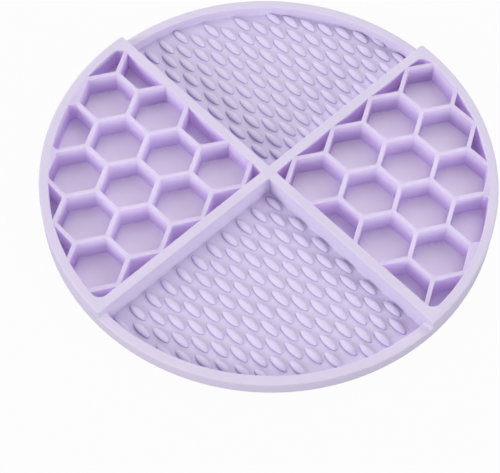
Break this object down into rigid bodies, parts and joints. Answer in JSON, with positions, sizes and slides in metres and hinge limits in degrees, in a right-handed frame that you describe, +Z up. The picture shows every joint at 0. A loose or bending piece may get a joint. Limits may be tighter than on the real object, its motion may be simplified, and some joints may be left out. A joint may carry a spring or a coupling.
{
  "type": "slow feeder plate",
  "caption": "Round silicone slow feeder plate with a crossed divider, open honeycomb cells in the side quarters and trays of grain-shaped lick nubs in front and behind.",
  "frame": {"origin": "middle of the underside", "axes": "+Z up out of the cells, -Y towards the front nub tray, +X towards the right honeycomb"},
  "size_m": [0.2, 0.2, 0.013],
  "materials": {
    "lilac_silicone": "matte moulded silicone"
  },
  "bodies": {
    "root": {"base_disc": "lilac_silicone", "rim_left": "lilac_silicone", "rim_right": "lilac_silicone", "rim_front": "lilac_silicone", "rim_rear": "lilac_silicone", "divider_hub": "lilac_silicone", "divider_front_left": "lilac_silicone", "divider_front_right": "lilac_silicone", "divider_rear_left": "lilac_silicone", "divider_rear_right": "lilac_silicone", "honeycomb_left": "lilac_silicone", "honeycomb_right": "lilac_silicone", "nubs_front": "lilac_silicone", "nubs_rear": "lilac_silicone"}
  },
  "joints": []
}
